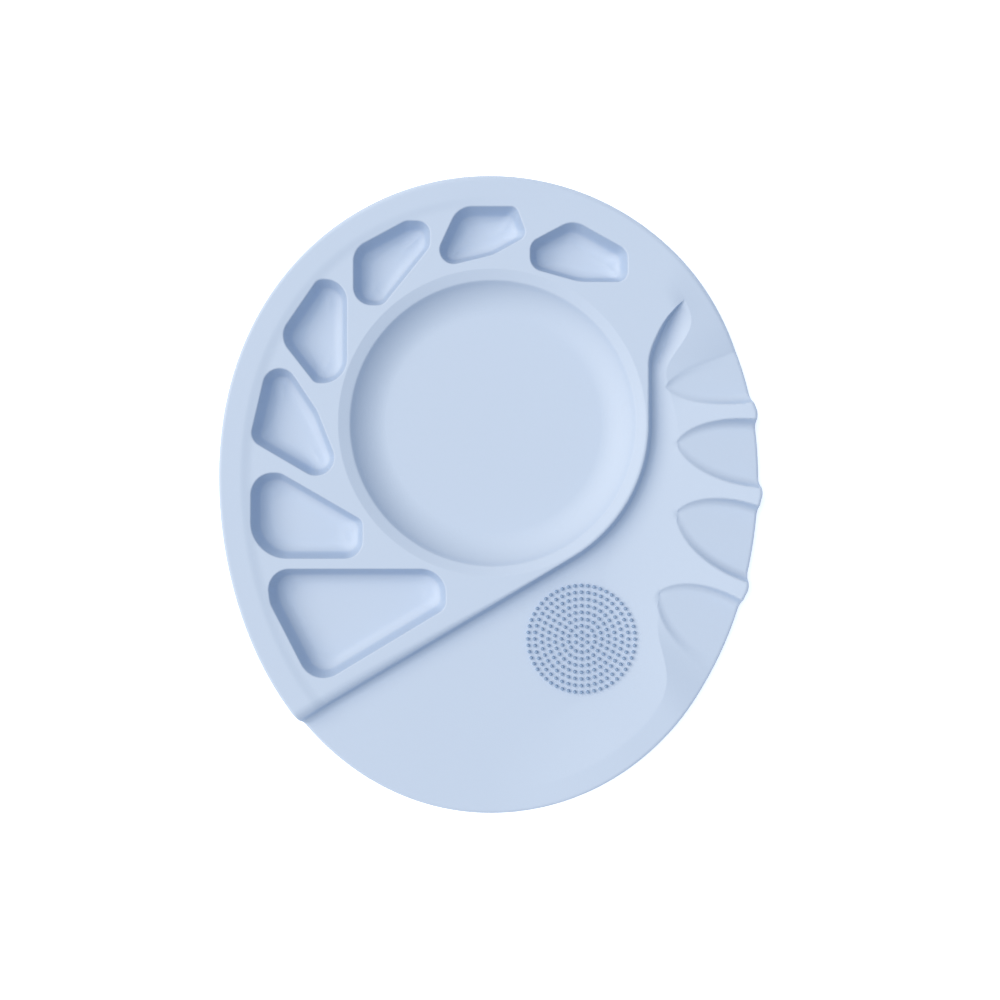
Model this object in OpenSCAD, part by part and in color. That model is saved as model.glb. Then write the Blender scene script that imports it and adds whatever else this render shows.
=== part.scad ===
// Mixing palette: one large round mixing well, seven paint wells, a scrubbing pad and a fluted brush rest.
// Millimetres, +Z up. The origin is on the table, under the middle of the overall box.

/* [Outline] */
// Mean radius of the egg-shaped outline
egg_mean = 114; // [108:0.5:120]
// How much the outline is longer than it is wide
egg_oval = 9.6; // [6:0.1:12]
// How much the outline narrows towards its front end
egg_taper = 1.3; // [0:0.1:2]

/* [Heights] */
// Height of the outer rim band above the table
rim_z = 15; // [14:0.5:17]
// How far the paint deck lies below the rim band
deck_drop = 0.6; // [0.3:0.1:1]
// Height of the lower deck above the table
lower_z = 7.4; // [7:0.1:8]
// Height of every well's floor above the table
floor_z = 5.4; // [4:0.1:6]
// Thickness of the moulding
wall = 3; // [2.5:0.1:3.5]
// Width of the rim band and of the lower border
band_w = 9; // [7:0.5:10]

/* [Mixing well] */
// Outer radius of the well's chamfered lip
mix_lip_r = 59.9; // [59:0.1:60]
// Radius where the lip ends and the bowl begins
mix_bowl_r = 56.4; // [55:0.1:57]
// Radius of the flat floor
mix_floor_r = 42; // [38:0.5:45]

/* [Step] */
// Direction of the straight stretch of the step, measured from +X
step_turn = 31; // [29:0.5:33]
// Radius of the step round the mixing well
step_r = 61; // [61:0.1:61.5]
// Thickness of the step wall
step_w = 2.8; // [2.5:0.1:3]

/* [Scrubbing pad] */
// Radius of the pad
pad_r = 22.6; // [22:0.1:24]
// Distance between the rings of nubs
nub_pitch = 2.6; // [2.5:0.05:2.7]
// Radius of one nub
nub_r = 0.6; // [0.5:0.05:0.7]
// Height of one nub above the pad
nub_h = 1.4; // [1:0.1:2]

/* [Brush rest] */
// Height of the ridges between the flutes, at the outer edge
ridge_z = 13.4; // [12.5:0.1:14.5]
// Height of the flutes' floors at the outer edge
flute_z = 6.8; // [6:0.1:7.5]
// How far each ridge's end stands out past the outline
ridge_out = 0.8; // [0.4:0.1:1.2]

/* [Hidden] */
$fn = 64;
deck_z = rim_z - deck_drop;
egg_centre = [-0.4, 1.3];
mix_centre = [0.7, 28.1];
pad_centre = [34.9, -55.5];
far = 400;

// The brush rest runs from the front of the right edge to its back, where the band is this much wider.
rest_from = -50;
rest_to = 60;
rest_extra = 21;
// Where the band widens at each end of the rest, and how gradually: [angle, softness].
rest_front = [-41.2, 3.2];
rest_back = [36, 1.7];
// The step's upright stretch, and the radius of the arc that follows it.
step_rise = 22.7;
turn_r = 33.7;
// Where the step runs out into the rim band.
tip_a = 45;
petal_a = 33;

// Each paint well's corners, anticlockwise: [x, y, corner radius].
well_corners = [
    [[-85.5, -41.5, 11.5], [-68.5, -74.5, 10], [-17, -43.5, 5.5], [-17, -27.5, 10], [-87.5, -27.5, 8.5]],
    [[-93, -24.5, 14.5], [-49, -24.5, 7.5], [-49, -9, 4], [-81, 9.5, 7], [-93, 9.5, 9]],
    [[-93.5, 21.5, 6], [-52.5, -2.5, 7.5], [-66.5, 33, 15.5], [-84.5, 60, 7]],
    [[-82.5, 61.5, 8.5], [-68, 43, 4], [-55, 43, 10], [-55, 84, 9], [-67, 84, 4.5]],
    [[-53.5, 73, 7.5], [-41.5, 73, 4.5], [-23, 96, 5.5], [-23, 106.5, 5.5], [-33, 106.5, 6], [-53.5, 95.5, 8.5]],
    [[-25, 86, 6], [1, 92.5, 15.5], [14.5, 100, 4], [10, 112, 3.5], [-13, 112, 9]],
    [[14.5, 98, 5.5], [14.5, 86.5, 6], [34, 82, 23], [53, 82, 4.5], [53, 95, 6], [31.5, 107, 9]]
];
// A cup's section: [share of the way in from the edge, share of the way down].
cup_in_max = 7.5;
cup_inside = [[0, 0], [0.07, 0.07], [0.38, 0.57], [0.56, 0.79], [0.77, 0.93], [1, 1]];
cup_outside = [[1, 1], [0.6, 0.87], [0.33, 0.64], [0.13, 0.3], [0, 0]];

// Flutes of the brush rest: [tip x, tip y, direction, length, half width at the edge].
flutes = [
    [67.3, 42.2, 6.5, 31, 10],
    [71.6, 20.8, -8, 30.3, 13.2],
    [71.6, -6.1, -23, 30.3, 14.7],
    [64.6, -37.3, -32, 29, 14.7]
];
ridge_angles = [17, -0.2, -20.6];
nub_counts = [6, 14, 20, 26, 32, 38, 44, 52];

// ---- curves in plan ----

function smooth(t) = let(c = min(1, max(0, t))) c * c * (3 - 2 * c);
function mix(a, b, t) = a + (b - a) * t;
function turn(a) = [cos(a), sin(a)];

// The outline: a circle with a twofold term for the oval and a threefold term for the taper.
function outline_r(a) = egg_mean - egg_oval * cos(2 * a) + egg_taper * sin(3 * a);
function outline_slope(a) = 2 * egg_oval * sin(2 * a) + 3 * egg_taper * cos(3 * a);
function inward(a) =
    let(t = [outline_slope(a) * cos(a) - outline_r(a) * sin(a), outline_slope(a) * sin(a) + outline_r(a) * cos(a)])
    [-t.y, t.x] / norm(t);
function edge_point(a, inset) = egg_centre + outline_r(a) * turn(a) + inset * inward(a);

// The band along the outline widens smoothly into the brush rest.
function rest_share(a) =
    1 / (1 + exp((a - rest_back[0]) / rest_back[1])) / (1 + exp((rest_front[0] - a) / rest_front[1]));
function wrap(a) = a > 180 ? a - 360 : a;
function band(a) = band_w + rest_extra * rest_share(wrap(a));
function crease_point(a) = edge_point(a, band(a));

// The step: a straight stretch, an arc round the mixing well, a straight and a last arc out to the rim.
tip = crease_point(tip_a);
turn_centre = mix_centre + [step_r + turn_r, step_rise];
function step_taper(t) = 1 - smooth(t);
function step_points(side, start) =
    let(dir = turn(step_turn), first = mix_centre + (step_r - side) * turn(step_turn - 90))
    concat(
        [first - start * dir],
        [for (a = [step_turn - 90 : 3 : 0]) mix_centre + (step_r - side) * turn(a)],
        [for (a = [0 : 4 : 44]) turn_centre + (turn_r + side * step_taper(a / 50)) * turn(180 - a)],
        [tip]
    );
deck_face = 0.4;
low_face = deck_face - step_w;

rest_angles = [for (a = [rest_from : 1 : rest_to]) a];
far_angles = [for (a = [rest_to + 2 : 2 : rest_from + 358]) a];

// ---- regions in plan ----

module inside_outline() {
    polygon([for (a = concat(rest_angles, far_angles)) edge_point(a, 0)]);
}

module inside_crease() {
    polygon([for (a = concat(rest_angles, far_angles)) crease_point(a)]);
}

// Everything on the deck's side of a line that follows the step.
module deck_side(side) {
    polygon(concat(step_points(side, 180), [edge_point(tip_a, -far), [-far, far], [-far, -far]]));
}

// Everything on the lower deck's side of such a line.
module lower_side(side) {
    polygon(concat(step_points(side, 180), [edge_point(tip_a, -far), [far, -far], [-far, -far]]));
}

// The band from the outline to the crease between two angles.
module band_region(from, to, width) {
    steps = [for (a = [from : 2 : to]) a];
    polygon(concat(
        [for (a = steps) edge_point(a, 0)],
        [for (i = [len(steps) - 1 : -1 : 0]) edge_point(steps[i], min(width, band(steps[i])))]
    ));
}

module slab(z0, z1) {
    translate([0, 0, z0]) linear_extrude(z1 - z0) children();
}

// ---- lofted solids ----

// Joins rings of equal length into a closed solid with flat ends.
module loft(rings) {
    n = len(rings[0]);
    m = len(rings);
    polyhedron(
        points = [for (r = rings) each r],
        faces = concat(
            [for (k = [0 : m - 2], i = [0 : n - 1]) let(j = (i + 1) % n) [k * n + i, (k + 1) * n + j, k * n + j]],
            [for (k = [0 : m - 2], i = [0 : n - 1]) let(j = (i + 1) % n) [k * n + i, (k + 1) * n + i, (k + 1) * n + j]],
            [[for (i = [0 : n - 1]) i]],
            [[for (i = [n - 1 : -1 : 0]) (m - 1) * n + i]]
        )
    );
}

// ---- paint wells ----

function unit(v) = v / norm(v);
// A rounded polygon, moved inwards by d, as corner arcs of equal counts.
function rounded(corners, d) =
    let(n = len(corners))
    [for (i = [0 : n - 1])
        let(
            p = [corners[i][0], corners[i][1]],
            a = [corners[(i + n - 1) % n][0], corners[(i + n - 1) % n][1]],
            b = [corners[(i + 1) % n][0], corners[(i + 1) % n][1]],
            u = unit(p - a), v = unit(b - p),
            nu = [-u.y, u.x], nv = [-v.y, v.x],
            reach = (nu + nv) / (1 + nu * nv),
            r = max(corners[i][2] - d, 1.6),
            centre = p + reach * (d + r),
            a0 = atan2(-nu.y, -nu.x),
            a1 = atan2(-nv.y, -nv.x),
            sweep = a1 < a0 ? a1 - a0 + 360 : a1 - a0
        )
        for (k = [0 : 5]) centre + r * turn(a0 + sweep * k / 5)];

function raise(points, z) = [for (p = points) [p.x, p.y, z]];

// One cup: up its outside from the underside of the floor, over the edge and down its inside.
module paint_well(i) {
    corners = well_corners[i];
    depth = deck_z - floor_z;
    color("lightsteelblue") loft(concat(
        [for (s = cup_outside) raise(rounded(corners, s[0] * cup_in_max), deck_z - wall - depth * s[1])],
        [for (s = cup_inside) raise(rounded(corners, s[0] * cup_in_max), deck_z - depth * s[1])]
    ));
}

module well_openings() {
    for (corners = well_corners) polygon(rounded(corners, 0));
}

// ---- sub-parts ----

module mixing_well() {
    depth = deck_z - floor_z;
    bowl_w = mix_bowl_r - mix_floor_r;
    lip_z = deck_z - 1.3;
    // The bowl's wall is a quarter of an ellipse, moved down and out by the wall for its outside.
    function bowl(a) = [mix_floor_r + bowl_w * sin(a), floor_z + (lip_z - floor_z) * (1 - cos(a))];
    color("lightblue") translate(mix_centre) rotate_extrude($fn = 180) polygon(concat(
        [[0, floor_z - wall], [mix_floor_r, floor_z - wall]],
        [for (a = [15 : 15 : 75]) bowl(a) + [1.8, -wall * 0.9]],
        [[mix_lip_r, deck_z - wall], [mix_lip_r, deck_z]],
        [for (a = [90 : -10 : 0]) bowl(a)],
        [[0, floor_z]]
    ));
}

module paint_deck() {
    color("aliceblue") slab(deck_z - wall, deck_z) difference() {
        intersection() {
            inside_crease();
            deck_side(deck_face);
        }
        translate(mix_centre) circle(mix_lip_r, $fn = 180);
        well_openings();
    }
}

// The rim band with the skirt that stands on the table.
module deck_rim() {
    color("powderblue") {
        slab(rim_z - wall, rim_z) intersection() {
            band_region(rest_to, 240, far);
            deck_side(deck_face);
        }
        slab(0, rim_z - wall) intersection() {
            band_region(rest_to, 240, wall);
            deck_side(deck_face);
        }
    }
}

module step_strip() {
    difference() {
        intersection() {
            inside_outline();
            lower_side(deck_face);
        }
        lower_side(low_face);
    }
}

module step_wall() {
    color("skyblue") {
        slab(lower_z - wall, deck_z) intersection() {
            step_strip();
            inside_crease();
        }
        slab(lower_z - wall, deck_z) intersection() {
            step_strip();
            band_region(220, 240, far);
        }
        slab(0, lower_z - wall) intersection() {
            step_strip();
            band_region(220, 240, wall);
        }
    }
}

module lower_deck() {
    color("azure") slab(lower_z - wall, lower_z) difference() {
        intersection() {
            inside_crease();
            lower_side(low_face);
        }
        side_hollow_region();
        translate(pad_centre) circle(pad_r, $fn = 120);
    }
}

module lower_border() {
    color("paleturquoise") {
        slab(lower_z - wall, lower_z) intersection() {
            band_region(220, rest_from + 360, far);
            lower_side(low_face);
        }
        slab(0, lower_z - wall) intersection() {
            band_region(220, rest_from + 360, wall);
            lower_side(low_face);
        }
    }
}

// ---- the hollow beside the step: its floor climbs from the lower deck to the rim ----

hollow_angles = [for (a = [petal_a : 1 : tip_a - 1]) a];
hollow_wall = [for (p = step_points(low_face, 0)) if (p.y > mix_centre.y + step_rise - 3 && p != tip) p];

module side_hollow_region() {
    n = len(hollow_angles) - 1;
    polygon(concat(hollow_wall, [tip], [for (i = [n : -1 : 0]) crease_point(hollow_angles[i])]));
}

function hollow_ring(w, q, zw, zq) = [
    [q.x, q.y, zq], [w.x, w.y, zw], [w.x, w.y, zw - wall], [q.x, q.y, zq - wall]
];

module side_hollow() {
    n = len(hollow_angles);
    last = n - 1;
    near_tip = 0.98;
    color("lightcyan") loft(concat(
        [for (i = [0 : last]) hollow_ring(
            hollow_wall[i], crease_point(hollow_angles[i]),
            mix(lower_z, deck_z - 1, smooth(2 * i / n - 1)), crease_z(hollow_angles[i])
        )],
        [hollow_ring(
            mix(hollow_wall[last], tip, near_tip), mix(crease_point(hollow_angles[last]), tip, near_tip),
            deck_z - 1, crease_z(tip_a)
        )]
    ));
}

// ---- brush rest ----

crease_low_z = lower_z + 2.3;
// Height of the crease: low along the lower deck, climbing to the rim band beside the hollow.
function crease_z(a) = mix(crease_low_z, rim_z, smooth((a - 32) / 18));
// Height of the outer edge between the flutes: it sinks to the flutes' floor on both sides of them.
function edge_z(a) =
    a > 31 ? mix(flute_z, rim_z, smooth((a - 31) / 22)) :
    a > 20 ? mix(ridge_z, flute_z, smooth((a - 20) / 11)) :
    a > -28 ? ridge_z :
    a > -39 ? mix(flute_z, ridge_z, smooth((a + 39) / 11)) :
    mix(flute_z, lower_z, smooth((-39 - a) / 11));

// A flute is a trough with a pointed-arch outline: steep at its sides and nearly flat across its floor.
function flute_cut(p, base, f) =
    let(
        d = [p.x - f[0], p.y - f[1]],
        s = (d * turn(f[2])) / f[3],
        v = abs(d * turn(f[2] + 90)),
        half = s <= 0 ? 0 : f[4] * pow(1 - pow(1 - min(s, 1), 2), 0.6),
        floor_here = mix(lower_z + 0.8, flute_z, min(s, 1))
    )
    v >= half || floor_here > base ? base : mix(floor_here, base, pow(v / half, 4));
function rest_top(a, share, p) =
    let(base = mix(edge_z(a), crease_z(a), share))
    min([for (f = flutes) flute_cut(p, base, f)]);
function ridge_end(a) = ridge_out * max([for (r = ridge_angles) exp(-pow((a - r) / 1.6, 2))]);

rest_steps = 9;
function rest_ring(a) =
    let(
        insets = concat([0], [for (k = [0 : rest_steps]) mix(wall, band(a), k / rest_steps)]),
        n = len(insets) - 1,
        plan = [for (k = [0 : n]) edge_point(a, k == 0 ? -ridge_end(a) : insets[k])],
        top = [for (k = [0 : n]) rest_top(a, insets[k] / band(a), plan[k])]
    )
    concat(
        [for (k = [0 : n]) [plan[k].x, plan[k].y, top[k]]],
        [for (k = [n : -1 : 1]) [plan[k].x, plan[k].y, top[k] - wall]],
        [[plan[1].x, plan[1].y, 0], [plan[0].x, plan[0].y, 0]]
    );

module brush_rest() {
    color("lightskyblue") loft([for (a = rest_angles) rest_ring(a)]);
}

// ---- scrubbing pad ----

module scrub_pad() {
    color("lavender") translate([pad_centre.x, pad_centre.y, lower_z - wall]) cylinder(h = wall, r = pad_r, $fn = 120);
}

// Rings of short round nubs, each ring starting at the back.
module scrub_nubs() {
    color("steelblue") translate([pad_centre.x, pad_centre.y, lower_z]) {
        cylinder(h = nub_h, r = nub_r, $fn = 24);
        for (ring = [1 : len(nub_counts)], i = [0 : nub_counts[ring - 1] - 1])
            rotate(90 + 360 * i / nub_counts[ring - 1])
                translate([nub_pitch * ring, 0, 0]) cylinder(h = nub_h, r = nub_r, $fn = 24);
    }
}

paint_deck();
deck_rim();
mixing_well();
paint_well(0);  // paint_well_1
paint_well(1);  // paint_well_2
paint_well(2);  // paint_well_3
paint_well(3);  // paint_well_4
paint_well(4);  // paint_well_5
paint_well(5);  // paint_well_6
paint_well(6);  // paint_well_7
step_wall();
lower_deck();
lower_border();
side_hollow();
brush_rest();
scrub_pad();
scrub_nubs();
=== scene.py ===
"""A moulded silicone mixing palette: its surfaces, finish, light and camera, built round the CAD frame.

Lengths in this script are millimetres and angles are degrees, anticlockwise from +X as seen from above.
The whole top of the palette is one height over (x, y). Each piece is a sheet of that surface with its own
thickness, and neighbouring pieces share the points of their common edge.
"""

import bpy
import numpy as np
from mathutils import Euler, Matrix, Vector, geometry


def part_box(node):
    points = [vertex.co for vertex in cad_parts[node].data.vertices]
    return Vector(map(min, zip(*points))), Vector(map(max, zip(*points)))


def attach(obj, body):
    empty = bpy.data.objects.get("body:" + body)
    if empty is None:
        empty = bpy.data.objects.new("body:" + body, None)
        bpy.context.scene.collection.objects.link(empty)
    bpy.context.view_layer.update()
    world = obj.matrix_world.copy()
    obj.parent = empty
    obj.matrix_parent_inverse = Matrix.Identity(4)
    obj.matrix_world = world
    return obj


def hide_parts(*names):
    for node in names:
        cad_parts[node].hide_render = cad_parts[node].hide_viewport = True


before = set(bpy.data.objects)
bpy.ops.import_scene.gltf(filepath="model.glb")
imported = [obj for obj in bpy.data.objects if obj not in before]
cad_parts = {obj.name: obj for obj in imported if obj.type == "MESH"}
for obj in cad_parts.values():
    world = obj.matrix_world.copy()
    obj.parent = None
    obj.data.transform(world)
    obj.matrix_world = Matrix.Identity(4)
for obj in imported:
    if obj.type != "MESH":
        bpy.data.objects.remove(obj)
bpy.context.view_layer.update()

METRES = 0.001


# ---- sizes ----


def span(node):
    """Lowest and highest corner of a CAD node, in millimetres."""
    low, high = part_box(node)
    return np.array(low) / METRES, np.array(high) / METRES


deck_low, deck_high = span("paint_deck")
lower_high = span("lower_deck")[1]
mix_low, mix_high = span("mixing_well")
pad_low, pad_high = span("scrub_pad")

DECK_Z = deck_high[2]
LOWER_Z = lower_high[2]
WALL = deck_high[2] - deck_low[2]
RIM_LIFT = span("deck_rim")[1][2] - DECK_Z
FLOOR_Z = mix_low[2] + WALL
MIX_CENTRE = (mix_low[:2] + mix_high[:2]) / 2
LIP_R = (mix_high[0] - mix_low[0]) / 2
# The lip's outer edge lies this much off the bowl's centre, away from the step.
LIP_SHIFT = 0.46
PAD_CENTRE = (pad_low[:2] + pad_high[:2]) / 2
PAD_R = (pad_high[0] - pad_low[0]) / 2

# Outline: its centre, mean radius, oval term and taper term.
EGG_CENTRE = np.array([-0.4, 1.3])
EGG_MEAN, EGG_OVAL, EGG_TAPER = 114.0, 9.6, 1.3
# Width of the band along the outline, and how much wider it gets at the brush rest.
BAND_W, REST_EXTRA = 9.0, 21.0
# How far a band piece reaches past its crease.
OVERLAP = 1.2
FOOT_ROUND = 0.6
# The rim's slope down to the deck starts this far before the crease and is this wide.
RAMP_START, RAMP_W = 1.0, 4.8

# Step: direction of its straight stretch, its radii, and the arcs of its section.
STEP_TURN = 31.0
STEP_R = 61.0
STEP_RISE = 22.7
TURN_R = 33.7
TURN_END = 60.0
STEP_SLOPE = 72.0
STEP_FOOT_R = 3.2
STEP_TOP_R = 1.0
STEP_TIP_R = 4.9
STEEP_AT = 0.93
# How far past its line the step wall's piece reaches over the lower deck.
STEP_REACH = 4.0
# How far the step moves in on the underside, and the least height of the underside above the table.
UNDER_STEP_SHIFT, UNDER_GAP = 1.9, 0.05

# How far the crease stands above the lower deck.
CREASE_RISE = 2.3
# Angle at which the line between the lower deck and the side hollow meets the brush rest.
HOLLOW_A = 33.0
# Heights of the ridges and of the flutes' floors at the outline, and how far the ridges' ends stand out.
RIDGE_Z, FLUTE_Z = 13.4, 7.2
RIDGE_OUT = 0.8
RIDGE_ANGLES = (17.0, -0.2, -20.6)
# Width of a flute's sides, and how far below the crease its floor starts, FLUTE_REACH inside the outline.
FLUTE_SIDE_W, FLUTE_START_DROP, FLUTE_REACH = 4.6, 0.9, 29.0
# Flutes of the brush rest: tip x, tip y, direction, length, half width at the outer edge.
FLUTES = (
    (67.3, 42.2, 6.5, 31.0, 10.0),
    (71.6, 20.8, -8.0, 30.3, 13.2),
    (71.6, -6.1, -23.0, 30.3, 14.7),
    (64.6, -37.3, -32.0, 29.0, 14.7),
)

# Paint wells: corners anticlockwise, each x, y and corner radius.
WELLS = {
    "paint_well_1": (
        (-85.5, -41.5, 11.5), (-68.5, -74.5, 10), (-17, -43.5, 5.5), (-17, -27.5, 10), (-87.5, -27.5, 8.5),
    ),
    "paint_well_2": ((-93, -24.5, 14.5), (-49, -24.5, 7.5), (-49, -9, 4), (-81, 9.5, 7), (-93, 9.5, 9)),
    "paint_well_3": ((-93.5, 21.5, 6), (-52.5, -2.5, 7.5), (-66.5, 33, 15.5), (-84.5, 60, 7)),
    "paint_well_4": ((-82.5, 61.5, 8.5), (-68, 43, 4), (-55, 43, 10), (-55, 84, 9), (-67, 84, 4.5)),
    "paint_well_5": (
        (-53.5, 73, 7.5), (-41.5, 73, 4.5), (-23, 96, 5.5), (-23, 106.5, 5.5), (-33, 106.5, 6),
        (-53.5, 95.5, 8.5),
    ),
    "paint_well_6": ((-25, 86, 6), (1, 92.5, 15.5), (14.5, 100, 4), (10, 112, 3.5), (-13, 112, 9)),
    "paint_well_7": (
        (14.5, 98, 5.5), (14.5, 87.4, 6), (34, 82, 23), (53, 82, 4.5), (53, 95, 6), (31.5, 107, 9),
    ),
}

NUB_PITCH = 2.6
NUB_COUNTS = (6, 14, 20, 26, 32, 38, 44, 52)
NUB_SIDES = 8
# A nub's section from its foot up: radius and height.
NUB_SECTION = ((0.76, -0.3), (0.7, 0.0), (0.56, 1.4), (0.44, 1.62), (0.2, 1.7))


# ---- curves in plan ----


def smooth(t):
    """Smooth step: 0 below 0, 1 above 1, and 3t^2 - 2t^3 between."""
    t = np.clip(t, 0.0, 1.0)
    return t * t * (3.0 - 2.0 * t)


def mix(a, b, t):
    """The point a share t of the way from a to b."""
    return a + (b - a) * t


def soft_min(a, b, width):
    """The smaller of a and b, with a parabola over the last width where they cross."""
    h = np.clip(0.5 + 0.5 * (b - a) / width, 0.0, 1.0)
    return mix(b, a, h) - width * h * (1.0 - h)


def turn(a):
    """Unit vectors at angles a."""
    a = np.radians(a)
    return np.stack([np.cos(a), np.sin(a)], axis=-1)


def wrap(a):
    """Angles brought to between -180 and 180."""
    return (np.asarray(a) + 180.0) % 360.0 - 180.0


def outline_r(a):
    """Outline radius: a circle, less a twofold cosine for the oval, plus a threefold sine for the taper."""
    return EGG_MEAN - EGG_OVAL * np.cos(np.radians(2 * a)) + EGG_TAPER * np.sin(np.radians(3 * a))


def outline_slope(a):
    """How fast the outline radius grows with the angle, per radian."""
    return 2 * EGG_OVAL * np.sin(np.radians(2 * a)) + 3 * EGG_TAPER * np.cos(np.radians(3 * a))


def edge_point(a, inset):
    """Points a distance inset inside the outline, along the outline's inward normal at angles a."""
    a, inset = np.broadcast_arrays(np.asarray(a, float), np.asarray(inset, float))
    r, s = outline_r(a), outline_slope(a)
    e = turn(a)
    along = s[..., None] * e + r[..., None] * np.stack([-e[..., 1], e[..., 0]], axis=-1)
    along /= np.linalg.norm(along, axis=-1, keepdims=True)
    inward = np.stack([-along[..., 1], along[..., 0]], axis=-1)
    return EGG_CENTRE + r[..., None] * e + inset[..., None] * inward


def band(a):
    """Width of the band: constant, plus a plateau along the brush rest with two logistic curves as flanks."""
    a = wrap(a)
    return BAND_W + REST_EXTRA / (1 + np.exp((a - 36) / 1.7)) / (1 + np.exp(-(a + 41.2) / 3.2))


def inner_edge(a):
    """The inner edge of the band pieces."""
    return edge_point(a, band(a) + OVERLAP)


def band_place(p):
    """The angle and the inset at which edge_point gives the points p, found by Newton's steps."""
    d = p - EGG_CENTRE
    a = np.degrees(np.arctan2(d[..., 1], d[..., 0]))
    for _ in range(6):
        r, s = outline_r(a), outline_slope(a)
        e = turn(a)
        along = s[..., None] * e + r[..., None] * np.stack([-e[..., 1], e[..., 0]], axis=-1)
        speed = np.linalg.norm(along, axis=-1)
        along /= speed[..., None]
        rel = d - r[..., None] * e
        inset = rel[..., 1] * along[..., 0] - rel[..., 0] * along[..., 1]
        a = a + np.degrees((rel * along).sum(-1) / np.maximum(speed - inset, 25.0))
    return wrap(a), inset


# ---- the step's line ----

step_dir = turn(STEP_TURN)
step_normal = turn(STEP_TURN + 90)
step_start = MIX_CENTRE + STEP_R * turn(STEP_TURN - 90)
upright_x = MIX_CENTRE[0] + STEP_R
turn_centre = MIX_CENTRE + np.array([STEP_R + TURN_R, STEP_RISE])
turn_exit = turn_centre + TURN_R * turn(180 - TURN_END)
exit_dir = turn(90 - TURN_END)
exit_normal = turn(180 - TURN_END)


def step_distance(p):
    """Signed distance to the step's line, positive on the deck, then how far before the first arc a point
    lies, and how many degrees round the last arc.

    The line is a straight stretch, an arc round the mixing well, an upright stretch, a second arc that turns
    away from the well, and a straight run out. Of the stretches that face a point, the nearest one counts."""
    rel = p - step_start
    before = -(rel @ step_dir)
    m = p - MIX_CENTRE
    m_angle = np.degrees(np.arctan2(m[..., 1], m[..., 0]))
    t = p - turn_centre
    t_angle = np.degrees(np.arctan2(t[..., 1], t[..., 0])) % 360.0
    out = p - turn_exit
    near = 1e-6
    distances = [
        (rel @ step_normal, before > -near),
        (STEP_R - np.hypot(m[..., 0], m[..., 1]), (m_angle > STEP_TURN - 90 - near) & (m_angle < near)),
        (upright_x - p[..., 0], (m[..., 1] > -near) & (m[..., 1] < STEP_RISE + near)),
        (np.hypot(t[..., 0], t[..., 1]) - TURN_R, (t_angle > 180 - TURN_END - near) & (t_angle < 180 + near)),
        (out @ exit_normal, (out @ exit_dir) > -near),
    ]
    best = np.full(p.shape[:-1], 1e6)
    for value, faces in distances:
        closer = faces & (np.abs(value) < np.abs(best))
        best = np.where(closer, value, best)
    turned = np.where((m[..., 1] > STEP_RISE) & (before < 0), 180 - t_angle, 0)
    return best, before, np.clip(turned, 0, TURN_END)


def step_offset(turned):
    """How far the step lies off its line round the last arc, towards the hollow."""
    return 1.3 * smooth(turned / 22)


def step_scale(turned):
    """Width of the step's section: whole along its length, narrowing to the tip of the hollow."""
    return mix(1.0, 0.25, smooth((turned - 12) / 36))


def step_top_radius(before):
    """Radius of the step's upper edge: tight round the well, growing towards the front tip."""
    return mix(STEP_TOP_R, STEP_TIP_R, smooth(before / 110.0))


def step_share(d, top_r):
    """Share of the step's height at distance d: a convex arc, a straight slope and a concave arc."""
    full = DECK_Z - LOWER_Z
    sin, cos, tan = (f(np.radians(STEP_SLOPE)) for f in (np.sin, np.cos, np.tan))
    straight = np.maximum(full - (top_r + STEP_FOOT_R) * (1 - cos), 0.0) / tan
    x = STEEP_AT - d
    u = np.clip(x + top_r * sin, 0, top_r * sin)
    v = np.clip(straight + STEP_FOOT_R * sin - x, 0, STEP_FOOT_R * sin)
    upper = full - top_r + np.sqrt(top_r**2 - u**2)
    middle = full - top_r * (1 - cos) - tan * x
    lower = STEP_FOOT_R - np.sqrt(STEP_FOOT_R**2 - v**2)
    z = np.where(x <= 0, upper, np.where(x < straight, middle, lower))
    return np.clip(z / full, 0, 1)


# ---- height of the top surface ----


def crease_low(a):
    """Height of the crease along the lower deck. It stands above the deck and fades out at the front left."""
    return LOWER_Z + CREASE_RISE * smooth((a + 90) / 30)


def rim_level(a):
    """Height of the rim band: above the deck at the left and front, level with it at the back right."""
    turned = np.where(a < -60, 1.0, smooth((a - 78) / 25))
    return DECK_Z + RIM_LIFT * turned


def edge_round(a):
    """Radius of the outer edge: larger along the back right."""
    return 1.3 + 0.9 * smooth((a - 25) / 25) * smooth((140 - a) / 40)


def edge_low(a):
    """Height of the outer edge off the deck: the ridges' level along the brush rest, the flutes' floor at
    both of its ends, then up to the rim at the back and to the lower border at the front."""
    z = mix(FLUTE_Z, crease_low(a), smooth((-39.5 - a) / 12.5))
    z = np.where(a > -39, mix(FLUTE_Z, RIDGE_Z, smooth((a + 39) / 11)), z)
    z = np.where(a > 20, mix(RIDGE_Z, FLUTE_Z, smooth((a - 20) / 10)), z)
    climb = 1 - np.clip(1 - (a - 30) / 23, 0, 1) ** 2
    return np.where(a > 30, mix(FLUTE_Z, rim_level(a), climb), z)


def crease_height(a):
    """Height of the crease, climbing from the lower deck's level to the rim beside the hollow."""
    return mix(crease_low(a), rim_level(a), smooth((a - 32) / 18))


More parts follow.
